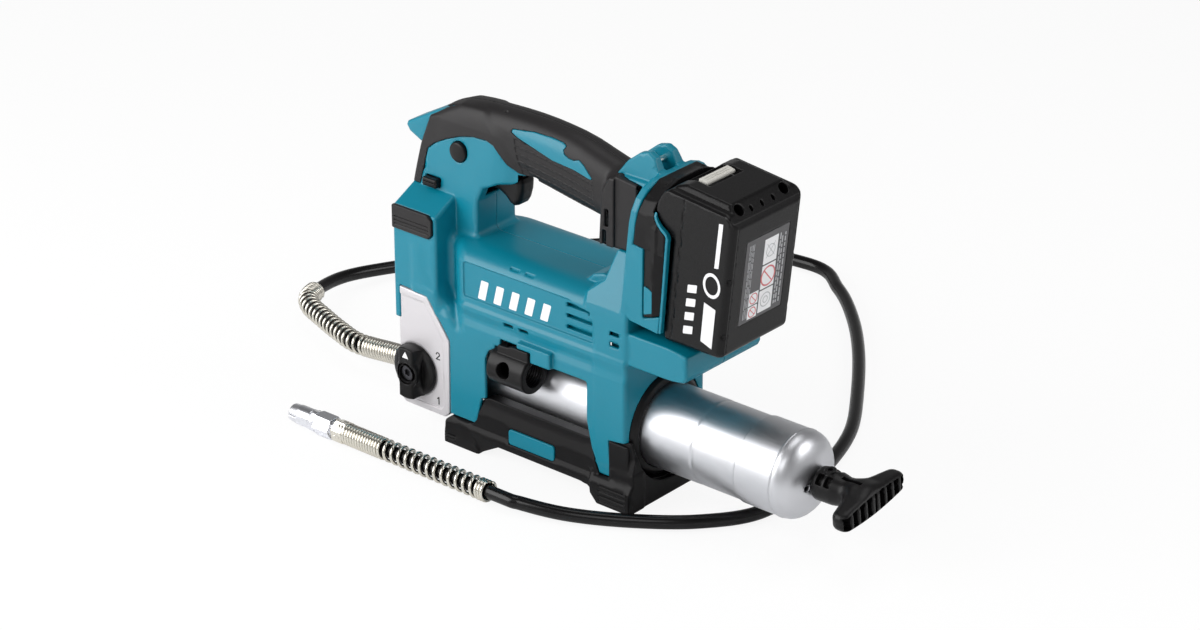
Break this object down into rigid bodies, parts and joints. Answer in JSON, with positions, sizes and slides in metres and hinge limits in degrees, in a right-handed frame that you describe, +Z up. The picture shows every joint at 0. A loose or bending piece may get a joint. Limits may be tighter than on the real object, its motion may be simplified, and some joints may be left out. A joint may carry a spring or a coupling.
{
  "type": "cordless grease gun",
  "caption": "Battery-powered grease gun: moulded body with a loop handle, steel grease barrel with a pull rod, cast pump head, speed dial and a long hose with spring guards.",
  "frame": {"origin": "on the floor plane under the middle of the front face of the body", "axes": "+X along the grease barrel towards the T-handle, +Z up, the speed dial faces -Y"},
  "size_m": [0.59, 0.4662, 0.257],
  "materials": {
    "teal_plastic": "fine-textured moulded nylon, satin",
    "soft_grip": "matt soft elastomer",
    "black_plastic": "satin moulded nylon",
    "base_plastic": "textured dark grey nylon",
    "battery_plastic": "semi-gloss moulded shell",
    "grey_plastic": "light grey moulded plastic",
    "label_film": "blank printed film",
    "cell_wrap": "shrink wrap",
    "circuit_board": "solder mask",
    "clear_lens": "clear polycarbonate",
    "cast_alloy": "bead-blasted die casting",
    "barrel_steel": "satin zinc-plated tube, turned lengthways",
    "bright_steel": "ground steel",
    "dark_steel": "black oxide steel",
    "spring_steel": "bright plated wire",
    "zinc_plate": "zinc plate",
    "brass": "machined brass",
    "seal_rubber": "nitrile rubber",
    "hose_rubber": "smooth synthetic rubber cover"
  },
  "bodies": {
    "frame": {"housing_left": "teal_plastic", "housing_right": "teal_plastic", "grip_left": "soft_grip", "grip_right": "soft_grip", "lamp_hood": "teal_plastic", "lamp_lens": "clear_lens", "lamp_board": "circuit_board", "trigger_pin": "bright_steel", "switch_unit": "black_plastic", "bumper_pads": "soft_grip", "base_frame": "base_plastic", "base_inserts": "teal_plastic", "barrel_collar": "black_plastic", "coupler_holder": "black_plastic", "pump_head": "cast_alloy", "hose_fitting": "zinc_plate", "inlet_guard": "spring_steel", "hose": "hose_rubber", "outlet_guard": "spring_steel", "coupler_body": "zinc_plate", "battery_mount": "base_plastic", "terminal_block": "black_plastic", "strap_pin": "bright_steel", "housing_screws": "dark_steel", "motor_can": "dark_steel", "motor_bearings": "bright_steel", "gear_case": "cast_alloy", "crank_bearings": "bright_steel", "plunger_seal": "seal_rubber", "check_spring": "spring_steel", "relief_valve": "brass", "control_board": "circuit_board"},
    "trigger": {"trigger": "black_plastic"},
    "lock_on_button": {"lock_on_button": "black_plastic"},
    "trigger_lock_button": {"trigger_lock_button": "black_plastic"},
    "dial": {"speed_dial": "black_plastic", "dial_screw": "dark_steel", "dial_spindle": "bright_steel"},
    "battery": {"battery_case": "battery_plastic", "battery_cells": "cell_wrap", "battery_label": "label_film"},
    "battery_button": {"battery_button": "grey_plastic"},
    "barrel_thread": {"barrel_gasket": "seal_rubber"},
    "barrel": {"barrel": "barrel_steel", "barrel_cap": "barrel_steel", "follower_spring": "spring_steel"},
    "follower": {"follower": "seal_rubber"},
    "t_handle": {"follower_rod": "bright_steel", "t_handle": "black_plastic"},
    "coupler_sleeve": {"coupler_sleeve": "zinc_plate"},
    "crank": {"crank_gear": "bright_steel", "crankshaft": "bright_steel"},
    "rotor": {"motor_rotor": "bright_steel", "cooling_fan": "black_plastic"},
    "plunger": {"plunger": "bright_steel"},
    "check_ball": {"check_ball": "bright_steel"},
    "bleeder": {"bleeder_valve": "bright_steel"}
  },
  "joints": [
    {"name": "trigger_pull", "type": "hinge", "parent": "frame", "child": "trigger", "pos_m": [0.061, 0, 0.197], "axis": [0, -1, 0], "range_deg": [0, 7]},
    {"name": "lock_on_press", "type": "slide", "parent": "frame", "child": "lock_on_button", "axis": [0, 1, 0], "range_m": [0, 0.003]},
    {"name": "trigger_lock_press", "type": "slide", "parent": "frame", "child": "trigger_lock_button", "axis": [0, 1, 0], "range_m": [0, 0.003]},
    {"name": "dial_turn", "type": "hinge", "parent": "frame", "child": "dial", "pos_m": [0.02, -0.045, 0.0473], "axis": [0, 1, 0], "range_deg": [0, 180]},
    {"name": "battery_slide", "type": "slide", "parent": "frame", "child": "battery", "axis": [0.1063, 0, 0.9943], "range_m": [0, 0.075]},
    {"name": "battery_release", "type": "slide", "parent": "battery", "child": "battery_button", "axis": [-0.1063, 0, -0.9943], "range_m": [0, 0.003]},
    {"name": "barrel_advance", "type": "slide", "parent": "frame", "child": "barrel_thread", "axis": [1, 0, 0], "range_m": [0, 0.0101]},
    {"name": "barrel_screw", "type": "hinge", "parent": "barrel_thread", "child": "barrel", "pos_m": [0.2, 0, 0.0524], "axis": [1, 0, 0], "range_deg": [0, 1800]},
    {"name": "follower_pull", "type": "slide", "parent": "barrel", "child": "follower", "axis": [1, 0, 0], "range_m": [0, 0.16], "deforming": ["follower_spring"]},
    {"name": "t_handle_turn", "type": "hinge", "parent": "follower", "child": "t_handle", "pos_m": [0.39, 0, 0.0524], "axis": [1, 0, 0], "range_deg": [-90, 90]},
    {"name": "coupler_turn", "type": "hinge", "parent": "frame", "child": "coupler_sleeve", "pos_m": [-0.04, -0.096, 0.0086], "axis": [1, 0, 0], "range_deg": [0, 180]},
    {"name": "crank_turn", "type": "hinge", "parent": "frame", "child": "crank", "pos_m": [0.045, 0, 0.106], "axis": [1, 0, 0], "continuous": true},
    {"name": "rotor_spin", "type": "hinge", "parent": "frame", "child": "rotor", "pos_m": [0.1, 0, 0.128], "axis": [1, 0, 0], "continuous": true},
    {"name": "plunger_stroke", "type": "slide", "parent": "frame", "child": "plunger", "axis": [0, 0, 1], "range_m": [-0.004, 0.004]},
    {"name": "check_ball_lift", "type": "slide", "parent": "frame", "child": "check_ball", "axis": [-1, 0, 0], "range_m": [0, 0.0015], "deforming": ["check_spring"]},
    {"name": "bleeder_press", "type": "slide", "parent": "frame", "child": "bleeder", "axis": [0, -1, 0], "range_m": [0, 0.0015]}
  ],
  "couplings": [
    {"joint": "barrel_advance", "follows": "barrel_screw", "m_per_rad": 0.00031831},
    {"joint": "rotor_spin", "follows": "crank_turn", "ratio": -3.4}
  ]
}
